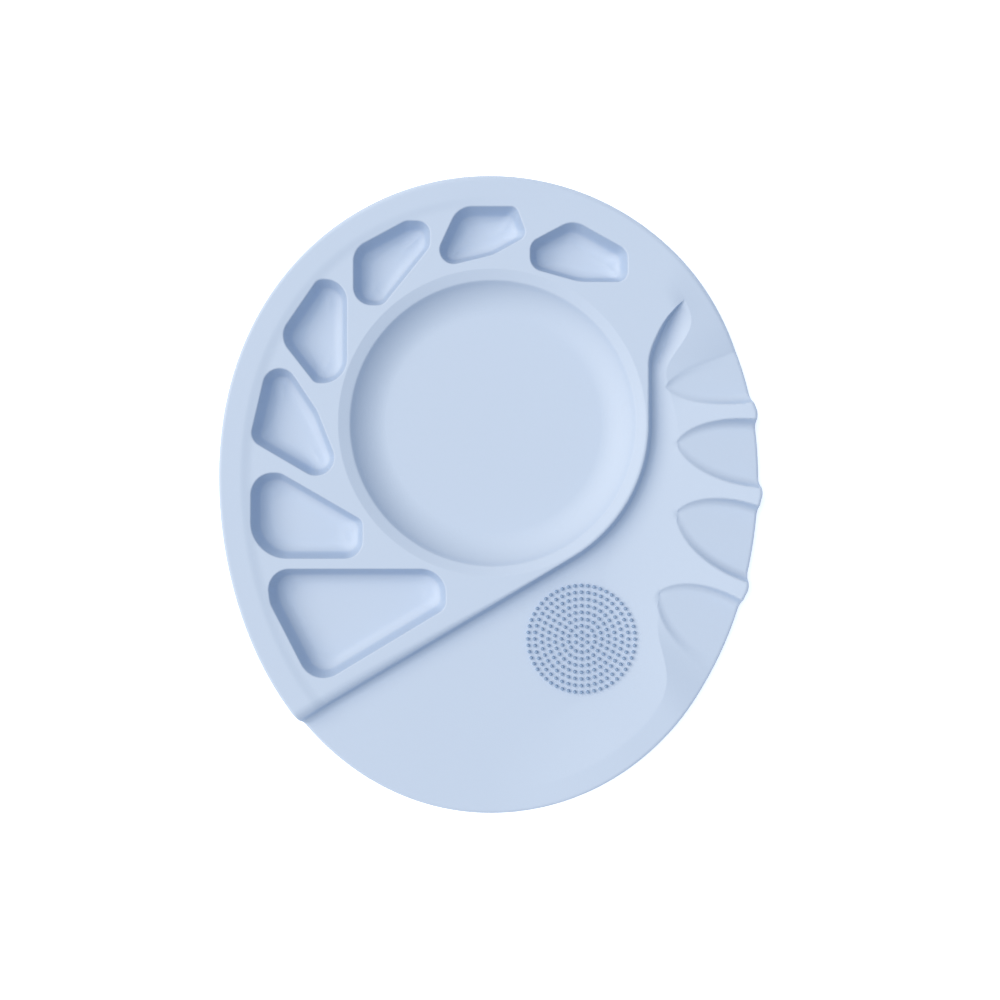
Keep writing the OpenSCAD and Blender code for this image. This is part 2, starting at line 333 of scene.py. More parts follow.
def cut_flutes(p, inset, z):
    """Sinks the flutes into heights z. Each is a trough with a pointed-arch outline. Its floor falls evenly
    to the outer edge, and its sides rise as a power curve to meet the ridges."""
    inner_floor = LOWER_Z + CREASE_RISE - FLUTE_START_DROP
    floor = mix(FLUTE_Z, inner_floor, np.clip(inset / FLUTE_REACH, 0, 1))
    for x, y, a, length, half_w in FLUTES:
        d = p - np.array([x, y])
        s = np.clip((d @ turn(a)) / length, 0, 1)
        v = np.abs(d @ turn(a + 90))
        half = half_w * (1 - (1 - s) ** 2) ** 0.6
        side = np.clip((v - half + FLUTE_SIDE_W) / FLUTE_SIDE_W, 0, 1.5)
        trough = floor + (np.maximum(z - floor, 0) + 0.35) * side**2.4
        z = np.where(s > 0, soft_min(trough, z, 0.1 + 0.8 * s), z)
    return z


def top_height(p, step_shift=0.0):
    """Height of the palette's top at points p, with the step moved towards the deck by step_shift.

    It is the lower deck's height plus the step's share of what the paint deck stands above it. Both are
    flat inside and lead smoothly to the crease. In the band they run straight to the outer edge."""
    a, inset = band_place(p)
    width = band(a)
    past = inset - width
    out = np.clip(inset / width, 0, 1)

    crease = crease_height(a)
    low_w = mix(24.0, 10.0, smooth((a + 5) / 30))
    to_tip = np.linalg.norm(p - turn_exit, axis=-1)
    low_floor = mix(LOWER_Z, DECK_Z - 1.2, smooth(1 - to_tip / 10))
    low = mix(low_floor, crease, np.clip(1 - past / low_w, 0, 1) ** mix(1.3, 1.05, smooth(a / 30)))
    low = np.where(past < 0, mix(edge_low(a), crease, out), low)
    low = np.where(a < 60, cut_flutes(p, inset, low), low)

    rim = np.where(a > -60, crease, rim_level(a))
    rim_edge = np.where(a > -60, edge_low(a), rim)
    ramp_w = mix(RAMP_W, 7.0, smooth((a - 30) / 12) * smooth((75 - a) / 12))
    high = mix(rim_edge, rim, out) - (rim - DECK_Z) * smooth((past + RAMP_START) / ramp_w)

    d, before, turned = step_distance(p)
    d = (d + step_offset(turned) - step_shift) / step_scale(turned)
    return mix(low, high, step_share(d, step_top_radius(before)))


def under_height(p):
    """Height of the underside: the top moved down by the wall, with the step moved in so that its wall keeps
    a thickness too, and never down on the table."""
    return np.maximum(top_height(p, UNDER_STEP_SHIFT) - WALL, UNDER_GAP)


# ---- meshes ----


def make_piece(name, points, quads, tris, slot, *nodes):
    """A smooth-shaded mesh from points in millimetres and arrays of four- and three-cornered faces.
    It rides on the one body and stands for the CAD nodes named."""
    quads = np.asarray(quads, np.int32).reshape(-1, 4)
    tris = np.asarray(tris, np.int32).reshape(-1, 3)
    corners = np.concatenate([quads.ravel(), tris.ravel()])
    totals = np.concatenate([np.full(len(quads), 4), np.full(len(tris), 3)]).astype(np.int32)
    starts = np.concatenate([[0], np.cumsum(totals)[:-1]]).astype(np.int32)
    mesh = bpy.data.meshes.new(name)
    mesh.vertices.add(len(points))
    mesh.vertices.foreach_set("co", (np.asarray(points) * METRES).astype(np.float32).ravel())
    mesh.loops.add(len(corners))
    mesh.loops.foreach_set("vertex_index", corners)
    mesh.polygons.add(len(totals))
    mesh.polygons.foreach_set("loop_start", starts)
    mesh.polygons.foreach_set("use_smooth", np.ones(len(totals), bool))
    mesh.update(calc_edges=True)
    mesh.validate()
    mesh.set_sharp_from_angle(angle=np.radians(50))
    piece = bpy.data.objects.new(name, mesh)
    bpy.context.scene.collection.objects.link(piece)
    piece.data.materials.append(finishes[slot])
    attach(piece, "root")
    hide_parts(*nodes)
    return piece


def rim_edges(quads, tris):
    """The directed edges that only one face uses."""
    faces = [f for f in (quads, tris) if len(f)]
    edges = np.concatenate([np.stack([f, np.roll(f, -1, 1)], -1).reshape(-1, 2) for f in faces])
    big = edges.max() + 1
    keys = edges[:, 0].astype(np.int64) * big + edges[:, 1]
    reverse = edges[:, 1].astype(np.int64) * big + edges[:, 0]
    return edges[~np.isin(keys, reverse)]


def thick_sheet(name, top, bottom, quads, tris, slot, *nodes):
    """A closed shell: a top sheet, a bottom sheet with its faces turned over, and a wall round every edge."""
    quads = np.asarray(quads, np.int64).reshape(-1, 4)
    tris = np.asarray(tris, np.int64).reshape(-1, 3)
    n = len(top)
    i, j = rim_edges(quads, tris).T
    wall = np.stack([j, i, i + n, j + n], -1)
    all_quads = np.concatenate([quads, quads[:, ::-1] + n, wall])
    all_tris = np.concatenate([tris, tris[:, ::-1] + n])
    return make_piece(name, np.concatenate([top, bottom]), all_quads, all_tris, slot, *nodes)


def grid_faces(rows, columns, closed=False):
    """Faces of a grid of points stored row by row. closed joins the last column to the first."""
    r = np.arange(rows - 1)[:, None]
    c = np.arange(columns if closed else columns - 1)[None, :]
    d = (c + 1) % columns
    corners = [r * columns + c, r * columns + d, (r + 1) * columns + d, (r + 1) * columns + c]
    return np.stack(corners, -1).reshape(-1, 4)


def with_height(xy, z):
    """Points of a plan with a height each."""
    return np.concatenate([xy, np.broadcast_to(z, xy.shape[:-1])[..., None]], -1)


def inside_loop(p, loop):
    """Which points lie inside a closed line: a ray along +X from them crosses it an odd number of times."""
    a, b = loop, np.roll(loop, -1, 0)
    crossings = np.zeros(len(p), int)
    for start in range(0, len(a), 200):
        a1, b1 = a[start : start + 200], b[start : start + 200]
        spans = (a1[None, :, 1] > p[:, None, 1]) != (b1[None, :, 1] > p[:, None, 1])
        rise = b1[:, 1] - a1[:, 1]
        rise = np.where(rise == 0, 1.0, rise)
        x = a1[:, 0] + (p[:, None, 1] - a1[:, 1]) / rise * (b1[:, 0] - a1[:, 0])
        crossings += (spans & (p[:, None, 0] < x)).sum(1)
    return crossings % 2 == 1


def nearest(p, line):
    """Distance from each point to the nearest point of a line of closely spaced points."""
    best = np.full(len(p), np.inf)
    for start in range(0, len(line), 200):
        d = p[:, None] - line[None, start : start + 200]
        best = np.minimum(best, np.sqrt((d**2).sum(-1)).min(1))
    return best


def fill_region(outer, holes, spacing):
    """Triangles over a region with holes: its own edge points and a hexagonal grid of points inside."""
    loops = [outer, *holes]
    edge = np.concatenate(loops)
    links, first = [], 0
    for loop in loops:
        i = np.arange(len(loop))
        links.append(np.stack([i, (i + 1) % len(loop)], -1) + first)
        first += len(loop)
    low, high = outer.min(0), outer.max(0)
    rise = spacing * np.sqrt(3) / 2
    x, y = np.meshgrid(np.arange(low[0], high[0], spacing), np.arange(low[1], high[1], rise))
    x = x + spacing / 2 * (np.arange(len(x)) % 2)[:, None]
    grid = np.stack([x.ravel(), y.ravel()], -1)
    grid = grid[inside_loop(grid, outer)]
    for hole in holes:
        grid = grid[~inside_loop(grid, hole)]
    grid = grid[nearest(grid, edge) > 0.6 * spacing]
    points = np.concatenate([edge, grid])
    found = geometry.delaunay_2d_cdt(points.tolist(), np.concatenate(links).tolist(), [], 0, 1e-7, False)
    plan = np.array([tuple(v) for v in found[0]])
    tris = np.array([f for f in found[2] if len(f) == 3])
    centre = plan[tris].mean(1)
    keep = inside_loop(centre, outer)
    for hole in holes:
        keep &= ~inside_loop(centre, hole)
    tris = tris[keep]
    a, b, c = (plan[tris[:, k]] for k in range(3))
    area = (b[:, 0] - a[:, 0]) * (c[:, 1] - a[:, 1]) - (b[:, 1] - a[:, 1]) * (c[:, 0] - a[:, 0])
    tris = np.where(area[:, None] > 0, tris, tris[:, ::-1])
    used, tris = np.unique(tris, return_inverse=True)
    return plan[used], tris.reshape(-1, 3)


def plate(name, outer, holes, slot, *nodes, spacing=1.2):
    """A plate of even thickness over a region, following the top surface."""
    plan, tris = fill_region(outer, holes, spacing)
    top, bottom = with_height(plan, top_height(plan)), with_height(plan, under_height(plan))
    return thick_sheet(name, top, bottom, [], tris, slot, *nodes)


# ---- bands along the outline ----


def ridge_end(a):
    """How far each ridge's end stands out past the outline: a bell curve round each ridge's angle."""
    bells = [np.exp(-(((a - r) / 1.6) ** 2)) for r in RIDGE_ANGLES]
    return RIDGE_OUT * np.max(bells, axis=0)


def band_piece(name, a, columns, slot, *nodes):
    """A band from its inner edge over the rounded outline and down to the table, swept along angles a.

    The upper line of its section runs out along the top surface, round the edge, down the skirt and round the
    foot. The lower line runs beneath it at the wall's thickness and down the inside of the skirt."""
    a = a[:, None]
    width = band(a) + OVERLAP
    along = mix(width, WALL, np.linspace(0, 1, columns)[None, :])
    upper_in = [along]
    upper_z = [top_height(edge_point(a, along))]
    bend = edge_round(wrap(a))
    for t in np.linspace(0, 1, 6)[1:]:
        upper_in.append(mix(WALL, bend, t))
        upper_z.append(top_height(edge_point(a, upper_in[-1])))
    level = upper_z[-1]
    for t in np.radians(np.linspace(0, 90, 9)[1:]):
        upper_in.append(bend * (1 - np.sin(t)))
        upper_z.append(level - bend * (1 - np.cos(t)))
    side_top = upper_z[-1]
    for t in np.linspace(0, 1, 6)[1:]:
        upper_in.append(np.zeros_like(width))
        upper_z.append(mix(side_top, FOOT_ROUND, t))
    for t in np.radians(np.linspace(0, 90, 5)[1:]):
        upper_in.append(np.full_like(width, FOOT_ROUND * (1 - np.cos(t))))
        upper_z.append(np.full_like(width, FOOT_ROUND * (1 - np.sin(t))))
    upper_in = np.concatenate(upper_in, 1)
    upper_z = np.concatenate(upper_z, 1)
    upper_in = upper_in - ridge_end(wrap(a)) * (1 - smooth(upper_in / 6))
    extra = upper_in.shape[1] - columns
    under = under_height(edge_point(a, along))
    down = under[:, -1:] * np.linspace(1, 0, extra + 1)[None, 1:]
    lower_in = np.concatenate([along, np.broadcast_to(np.float64(WALL), down.shape)], 1)
    lower_z = np.concatenate([under, down], 1)
    top = with_height(edge_point(a, upper_in), upper_z).reshape(-1, 3)
    bottom = with_height(edge_point(a, lower_in), lower_z).reshape(-1, 3)
    return thick_sheet(name, top, bottom, grid_faces(*upper_z.shape), [], slot, *nodes)


# ---- the step wall ----


def step_edges(before, turned):
    """Where the step wall's piece begins on the deck and ends on the lower deck, as distances from its line.
    turned is how far round the last arc a point lies, in degrees, where the foot narrows with the hollow."""
    top = STEEP_AT + step_top_radius(before) * np.sin(np.radians(STEP_SLOPE)) + 0.02
    scale, offset = step_scale(turned), step_offset(turned)
    return top * scale - offset, -STEP_REACH * scale - offset


def step_crossings(start, end, fractions):
    """Angles at which lines at the given fractions of the step wall's width cross the band's inner edge."""
    a = np.linspace(start, end, 4001)
    p = inner_edge(a)
    d, before, turned = step_distance(p)
    top, foot = step_edges(before, turned)
    share = (top - d) / (top - foot)
    order = np.argsort(share)
    return np.interp(fractions, share[order], a[order])


def step_wall_points(fractions, first, last):
    """The step wall's plan: rows across the step, from the front rim to the hollow's tip."""
    rel = first - step_start
    reach = -(rel @ step_dir)
    rows = []
    for t in np.linspace(0, 1, 200, endpoint=False):
        before = reach * (1 - t)
        top, foot = step_edges(before, 0.0)
        d = mix(top, foot, fractions)
        rows.append(step_start - before[:, None] * step_dir + d[:, None] * step_normal)
    rows[0] = first
    top, foot = step_edges(0.0, 0.0)
    d = mix(top, foot, fractions)[:, None]
    round_well = np.linspace(STEP_TURN - 90, 0, 110, endpoint=False)
    rows += [MIX_CENTRE + (STEP_R - d) * turn(a) for a in round_well]
    upright = np.linspace(0, STEP_RISE, 40, endpoint=False)
    rows += [np.concatenate([upright_x - d, MIX_CENTRE[1] + y + 0 * d], 1) for y in upright]
    out = last - turn_centre
    sweep = 180 - np.degrees(np.arctan2(out[:, 1], out[:, 0]))
    hollow_row = len(rows)
    for t in np.linspace(0, 1, 70):
        top, foot = step_edges(0.0, sweep * t)
        d = mix(top, foot, fractions)[:, None]
        rows.append(turn_centre + (TURN_R + d) * turn(180 - sweep * t))
    rows[-1] = last
    return np.array(rows), hollow_row


# ---- wells ----


def profile_line(parts):
    """A section as distance in and drop. Along each part of a given length the slope changes evenly."""
    inward, drop = [0.0], [0.0]
    for length, slope_from, slope_to in parts:
        n = max(int(length / 0.05), 4)
        slope = np.radians(mix(slope_from, slope_to, (np.arange(n) + 0.5) / n))
        inward.extend(inward[-1] + np.cumsum(np.cos(slope)) * length / n)
        drop.extend(drop[-1] + np.cumsum(np.sin(slope)) * length / n)
    return np.array(inward), np.array(drop)


def arc(radius, slope_from, slope_to):
    """A part of a section that is an arc of a circle."""
    return radius * np.radians(abs(slope_to - slope_from)), slope_from, slope_to


# Sections from the deck down to the floor. Each part has a length, a first slope and a last slope.
WELL_SECTION = (arc(0.6, 0, 70), (5.6, 70, 70), arc(4.8, 70, 0))
MIX_SECTION = ((0.4, 0, 18), (4.0, 18, 18), (0.9, 18, 52), (1.4, 52, 52), arc(15.6, 52, 0))


def well_shape(corners):
    """A rounded polygon as its corner arcs (centre, radius, start angle, sweep) and its sides (from, to)."""
    c = np.array(corners, float)
    p, r = c[:, :2], c[:, 2]
    along = np.roll(p, -1, 0) - p
    along /= np.linalg.norm(along, axis=1, keepdims=True)
    normal = np.stack([-along[:, 1], along[:, 0]], 1)
    before = np.roll(normal, 1, 0)
    reach = (before + normal) / (1 + (before * normal).sum(1))[:, None]
    centre = p + reach * r[:, None]
    start = np.degrees(np.arctan2(-before[:, 1], -before[:, 0]))
    sweep = (np.degrees(np.arctan2(-normal[:, 1], -normal[:, 0])) - start) % 360
    side_from = centre + r[:, None] * turn(start + sweep)
    side_to = np.roll(centre + r[:, None] * turn(start), -1, 0)
    return centre, r, start, sweep, side_from, side_to


def well_outline(shape, spacing):
    """Points along a rounded polygon and the inward direction at each."""
    centre, r, start, sweep, side_from, side_to = shape
    points, inward = [], []
    for k in range(len(r)):
        n = max(int(np.radians(sweep[k]) * r[k] / spacing), 6)
        e = turn(start[k] + sweep[k] * np.arange(n) / n)
        points.append(centre[k] + r[k] * e)
        inward.append(-e)
        length = np.linalg.norm(side_to[k] - side_from[k])
        n = max(int(length / spacing), 1)
        points.append(mix(side_from[k], side_to[k], np.arange(n)[:, None] / n))
        inward.append(np.broadcast_to(-turn(start[k] + sweep[k]), (n, 2)))
    return np.concatenate(points), np.concatenate(inward)


def well_distance(p, shape):
    """Distance from points inside a rounded polygon to its outline: the least over its sides and arcs."""
    best = np.full(p.shape[:-1], np.inf)
    for centre, r, start, sweep, a, b in zip(*shape):
        ab = b - a
        t = np.clip(((p - a) @ ab) / (ab @ ab), 0, 1)
        best = np.minimum(best, np.linalg.norm(p - a - t[..., None] * ab, axis=-1))
        rel = p - centre
        far = np.linalg.norm(rel, axis=-1)
        faces = rel @ turn(start + sweep / 2) >= far * np.cos(np.radians(sweep / 2))
        best = np.where(faces, np.minimum(best, r - far), best)
    return np.maximum(best, 0)


def eased_distance(p, shape):
    """The distance to the outline, averaged over a disc that grows with it, so that the corners' valleys and
    the middle are rounded while the straight walls keep their section."""
    d = well_distance(p, shape)
    reach = np.minimum(0.85 * d, 7.0)
    total = d.copy()
    count = 1
    for share, spokes in ((0.4, 8), (0.72, 14), (1.0, 20)):
        for a in np.arange(spokes) * 360 / spokes:
            total += well_distance(p + share * reach[..., None] * turn(a), shape)
            count += 1
    return total / count


def paint_well(name, corners):
    """A paint well: rings parallel to its outline over the edge, then rings that close on its middle."""
    shape = well_shape(corners)
    rim, inward = well_outline(shape, 0.7)
    first = np.array([0, 0.1, 0.2, 0.3, 0.41, 0.54, 0.68, 0.82, 1.2, 1.7, 2.2, 2.8, 3.1])
    rings = rim + first[:, None, None] * inward
    middle = rim.mean(0)
    rest = np.linspace(0, 1, 36)[1:-1, None, None] ** 1.25
    rings = np.concatenate([rings, mix(rings[-1], middle, rest)])
    n = rings.shape[1]
    plan = np.concatenate([rings.reshape(-1, 2), middle[None]])
    inward_at, drop = profile_line(WELL_SECTION)
    drop = drop * (DECK_Z - FLOOR_Z) / drop[-1]
    z = top_height(plan) - np.interp(eased_distance(plan, shape), inward_at, drop)
    quads = grid_faces(len(rings), n, closed=True)
    last = (len(rings) - 1) * n
    i = np.arange(n)
    tris = np.stack([last + i, last + (i + 1) % n, np.full(n, len(plan) - 1)], -1)
    top = with_height(plan, z)
    thick_sheet(name, top, top - [0, 0, WALL], quads, tris, "palette_silicone", name)
    return rim


def mixing_well():
    """The mixing well: a shallow lip, a rounded edge, a steep wall and a concave arc down to a flat floor."""
    inward_at, drop = profile_line(MIX_SECTION)
    drop = drop * (DECK_Z - FLOOR_Z) / drop[-1]
    near = np.concatenate([
        np.linspace(0, 0.6, 6, endpoint=False), np.linspace(0.6, 4.2, 6, endpoint=False),
        np.linspace(4.2, 6.6, 14, endpoint=False), np.linspace(6.6, inward_at[-1], 34, endpoint=False),
    ])
    radius = np.concatenate([LIP_R - near, np.linspace(LIP_R - inward_at[-1], 0, 14, endpoint=False)])
    z = DECK_Z - np.interp(LIP_R - radius, inward_at, drop)
    spokes = turn(np.arange(420) * 360 / 420)
    lip = smooth((radius - LIP_R + 4.6) / 4.6)[:, None, None]
    rings = MIX_CENTRE + lip * LIP_SHIFT * turn(155) + (radius[:, None, None] - lip * LIP_SHIFT) * spokes
    top = with_height(rings, z[:, None]).reshape(-1, 3)
    top = np.concatenate([top, [[*MIX_CENTRE, z[-1]]]])
    n = len(spokes)
    i = np.arange(n)
    last = (len(radius) - 1) * n
    tris = np.stack([last + i, last + (i + 1) % n, np.full(n, len(top) - 1)], -1)
    quads = grid_faces(len(radius), n, closed=True)
    thick_sheet("mixing_well", top, top - [0, 0, WALL], quads, tris, "palette_silicone", "mixing_well")
    return rings[0]


# ---- nubs ----


def nubs():
    """Rings of short tapered nubs with rounded tops, each ring starting at the back, as one mesh."""
    places = [np.zeros((1, 2))]
    for ring, count in enumerate(NUB_COUNTS, 1):
        places.append(NUB_PITCH * ring * turn(90 + 360 * np.arange(count) / count))
    places = PAD_CENTRE + np.concatenate(places)
    base = top_height(places)
    sides = turn(np.arange(NUB_SIDES) * 360 / NUB_SIDES)
    radius, level = np.array(NUB_SECTION).T
    rings = (radius[:, None, None] * sides).reshape(-1, 2)
    local = np.concatenate([with_height(rings, np.repeat(level, NUB_SIDES)), [[0, 0, level[-1] + 0.05]]])
    n = len(local)
    foot = np.concatenate([places, base[:, None]], 1)
    points = (foot[:, None] + local[None]).reshape(-1, 3)
    quads = grid_faces(len(radius), NUB_SIDES, closed=True)
    i = np.arange(NUB_SIDES)
    last = (len(radius) - 1) * NUB_SIDES
    lid = np.stack([last + i, last + (i + 1) % NUB_SIDES, np.full(NUB_SIDES, n - 1)], -1)
    under = np.stack([np.zeros(NUB_SIDES - 2, int), i[2:], i[1:-1]], -1)
    shift = n * np.arange(len(places))[:, None, None]
    quads = (quads[None] + shift).reshape(-1, 4)
    tris = (np.concatenate([lid, under])[None] + shift).reshape(-1, 3)
    piece = make_piece("scrub_nubs", points, quads, tris, "scrub_silicone", "scrub_nubs")
    # Painted shade on the nubs: 0 at the foot, 1 from 0.9 mm up, so the nubs come out dark as shade between
    # them makes them.
    nub_shade = np.tile(smooth((local[:, 2] - 0.2) / 0.7), len(places))
    piece.data.attributes.new("nub_shade", "FLOAT", "POINT").data.foreach_set("value", nub_shade.astype(np.float32))


# ---- finishes ----


def node_group(name, inputs, outputs):
    """An empty shader node group with named sockets: (name, type, default) going in and (name, type) out."""
    group = bpy.data.node_groups.new(name, "ShaderNodeTree")
    for label, kind, default in inputs:
        group.interface.new_socket(label, in_out="INPUT", socket_type=kind).default_value = default
    for label, kind in outputs:
        group.interface.new_socket(label, in_out="OUTPUT", socket_type=kind)
    return group, group.nodes.new("NodeGroupInput"), group.nodes.new("NodeGroupOutput")


def add_node(tree, kind, inputs=(), **settings):
    """A node with its settings, and with inputs set to values or linked from sockets."""
    node = tree.nodes.new(kind)
    for key, value in settings.items():
        setattr(node, key, value)
    for key, value in dict(inputs).items():
        if isinstance(value, bpy.types.NodeSocket):
            tree.links.new(value, node.inputs[key])
        else:
            node.inputs[key].default_value = value
    return node


FLOAT, COLOR = "NodeSocketFloat", "NodeSocketColor"


def grain_group():
    """Fine moulded grain as a height, from a fine and a coarser noise on object coordinates."""
    group, given, out = node_group("moulded_grain", [("Scale", FLOAT, 1.0)], [("Height", FLOAT)])
    place = add_node(group, "ShaderNodeTexCoord").outputs["Object"]
    noises = []
    for cells, detail in ((2600.0, 3.0), (420.0, 2.0)):
        scale = add_node(group, "ShaderNodeMath", {0: given.outputs["Scale"], 1: cells}, operation="MULTIPLY")
        noise = {"Vector": place, "Scale": scale.outputs[0], "Detail": detail}
        noises.append(add_node(group, "ShaderNodeTexNoise", noise).outputs["Fac"])
    blend = {"Factor": 0.35, "A": noises[0], "B": noises[1]}
    height = add_node(group, "ShaderNodeMix", blend, data_type="FLOAT")
    group.links.new(height.outputs["Result"], out.inputs["Height"])
    return group


def tone_group():
    """Cloudy variation: a colour scaled by a broad noise, and a roughness moved by a finer one."""
    inputs = [("Color", COLOR, (1, 1, 1, 1)), ("Amount", FLOAT, 0.02), ("Roughness", FLOAT, 0.5)]
    group, given, out = node_group("cloudy_tone", inputs, [("Color", COLOR), ("Roughness", FLOAT)])
    place = add_node(group, "ShaderNodeTexCoord").outputs["Object"]
    cloud = add_node(group, "ShaderNodeTexNoise", {"Vector": place, "Scale": 14.0, "Detail": 4.0})
    swing = add_node(group, "ShaderNodeMath", {0: cloud.outputs["Fac"], 1: 0.5}, operation="SUBTRACT")
    swing_gain = {0: swing.outputs[0], 1: given.outputs["Amount"], 2: 1.0}
    gain = add_node(group, "ShaderNodeMath", swing_gain, operation="MULTIPLY_ADD")
    tint = {0: given.outputs["Color"], "Scale": gain.outputs[0]}
    tinted = add_node(group, "ShaderNodeVectorMath", tint, operation="SCALE")
    smear = add_node(group, "ShaderNodeTexNoise", {"Vector": place, "Scale": 60.0, "Detail": 5.0})
    swing_rough = {0: smear.outputs["Fac"], 1: 0.16, 2: -0.08}
    rough = add_node(group, "ShaderNodeMath", swing_rough, operation="MULTIPLY_ADD")
    base = {0: rough.outputs[0], 1: given.outputs["Roughness"]}
    total = add_node(group, "ShaderNodeMath", base, operation="ADD")
    group.links.new(tinted.outputs[0], out.inputs["Color"])
    group.links.new(total.outputs[0], out.inputs["Roughness"])
    return group


def steep_shade_group():
    """Painted shade where the surface stands steep, as on walls and the outer edge: the colour is multiplied
    by the given shade colour by how far the upward part of the normal falls from 0.75 towards 0.25."""
    inputs = [("Color", COLOR, (1, 1, 1, 1)), ("Shade", COLOR, (1, 1, 1, 1))]
    group, given, out = node_group("painted_steep_shade", inputs, [("Color", COLOR)])
    normal = add_node(group, "ShaderNodeNewGeometry").outputs["Normal"]
    upward = add_node(group, "ShaderNodeSeparateXYZ", {0: normal}).outputs["Z"]
    fall = {"Value": upward, "From Min": 0.75, "From Max": 0.25}
    steep = add_node(group, "ShaderNodeMapRange", fall, interpolation_type="SMOOTHSTEP")
    shaded = add_node(group, "ShaderNodeMix", {
        "Factor": steep.outputs["Result"], "A": given.outputs["Color"], "B": given.outputs["Shade"],
    }, data_type="RGBA", blend_type="MULTIPLY")
    group.links.new(shaded.outputs["Result"], out.inputs["Color"])
    return group


def nub_shade_group():
    """Painted shade on the nubs: the colour is multiplied by the given shade colour by the piece's own
    painted-shade mask attribute, which is 0 where a piece has none."""
    inputs = [("Color", COLOR, (1, 1, 1, 1)), ("Shade", COLOR, (1, 1, 1, 1))]
    group, given, out = node_group("painted_nub_shade", inputs, [("Color", COLOR)])
    nub_shade = add_node(group, "ShaderNodeAttribute", attribute_name="nub_shade")
    shaded = add_node(group, "ShaderNodeMix", {
        "Factor": nub_shade.outputs["Fac"], "A": given.outputs["Color"], "B": given.outputs["Shade"],
    }, data_type="RGBA", blend_type="MULTIPLY")
    group.links.new(shaded.outputs["Result"], out.inputs["Color"])
    return group


def silicone(name, color, steep_shade, roughness, grain, scale, nub_shade_color=None):
    """Matte moulded silicone, with a painted shade colour multiplied in on its steep faces and another on the
    nubs.
    """
    material = bpy.data.materials.new(name)
    material.use_nodes = True
    tree = material.node_tree
    shader = tree.nodes["Principled BSDF"]
    tone = add_node(tree, "ShaderNodeGroup", node_tree=groups["tone"])
    tone.inputs["Color"].default_value = (*color, 1)
    tone.inputs["Roughness"].default_value = roughness
    # Painted shade on the steep faces: walls come out darker and bluer, as walls in shade look.
    steep = add_node(tree, "ShaderNodeGroup", {}, node_tree=groups["steep"])
    tree.links.new(tone.outputs["Color"], steep.inputs["Color"])
    steep.inputs["Shade"].default_value = (*steep_shade, 1)
    height = add_node(tree, "ShaderNodeGroup", node_tree=groups["grain"])
    height.inputs["Scale"].default_value = scale
    bump = add_node(tree, "ShaderNodeBump", {
        "Height": height.outputs["Height"], "Strength": grain, "Distance": 0.2 * METRES,
    })
    toned = steep.outputs["Color"]
    # Painted shade on the nubs, multiplied in by their mask.
    if nub_shade_color:
        nub_shade = add_node(tree, "ShaderNodeGroup", {}, node_tree=groups["nub_shade"])
        tree.links.new(toned, nub_shade.inputs["Color"])
        nub_shade.inputs["Shade"].default_value = (*nub_shade_color, 1)
        toned = nub_shade.outputs["Color"]
    tree.links.new(toned, shader.inputs["Base Color"])
    tree.links.new(tone.outputs["Roughness"], shader.inputs["Roughness"])
    tree.links.new(bump.outputs["Normal"], shader.inputs["Normal"])
    shader.inputs["Specular IOR Level"].default_value = 0.18
    return material


groups = {"grain": grain_group(), "tone": tone_group(), "steep": steep_shade_group(), "nub_shade": nub_shade_group()}
PALE_BLUE = (0.49, 0.576, 0.715)
# Painted shade multiplied into the base on steep walls, darker and bluer as walls in shade look.
STEEP_SHADE = (0.84, 0.90, 0.965)
# Painted shade multiplied into the base on the nubs.
NUB_SHADE = (0.55, 0.65, 0.75)
finishes = {
    "palette_silicone": silicone("palette_silicone", PALE_BLUE, STEEP_SHADE, 0.55, 0.25, 1.0),
    "scrub_silicone": silicone("scrub_silicone", PALE_BLUE, STEEP_SHADE, 0.55, 0.25, 1.2, nub_shade_color=NUB_SHADE),
}


# ---- the palette ----

fractions = np.linspace(0, 1, 41)
front_a = step_crossings(212, 245, fractions)
tip_a = step_crossings(38, 52, fractions)
step_plan, hollow_row = step_wall_points(fractions, inner_edge(front_a), inner_edge(tip_a))


def stations(start, end, spacing, crossing):
    """Angles along the outline at a spacing in degrees, with a crossing's own angles in its stretch."""
    a = np.linspace(start, end, int((end - start) / spacing))
    if crossing is None:
        return a
    a = a[(a < crossing.min() - spacing / 3) | (a > crossing.max() + spacing / 3)]
    return np.sort(np.concatenate([a, crossing]))


rim_end = front_a.max() + 1.0
rest_a = np.concatenate([
    stations(-50, tip_a.min() - 0.1, 0.26, np.array([HOLLOW_A])), np.sort(tip_a),
    stations(tip_a.max() + 0.1, 60, 0.26, None),
])
rim_a = stations(60, rim_end, 0.25, front_a)
border_a = stations(rim_end, 310, 0.25, None)

SLOT = "palette_silicone"
band_piece("brush_rest", rest_a, 72, SLOT, "brush_rest")
band_piece("deck_rim", rim_a, 24, SLOT, "deck_rim")
band_piece("lower_border", border_a, 18, SLOT, "lower_border")

wall_top = with_height(step_plan, top_height(step_plan)).reshape(-1, 3)
wall_bottom = with_height(step_plan, under_height(step_plan)).reshape(-1, 3)
thick_sheet("step_wall", wall_top, wall_bottom, grid_faces(*step_plan.shape[:2]), [], SLOT, "step_wall")

holes = [mixing_well()] + [paint_well(name, corners) for name, corners in WELLS.items()]
deck_loop = np.concatenate([
    inner_edge(rest_a[rest_a >= tip_a[0]]),
    inner_edge(rim_a[(rim_a > 60) & (rim_a <= front_a[0])]),
    step_plan[1:-1, 0],
])
plate("paint_deck", deck_loop, holes, SLOT, "paint_deck")

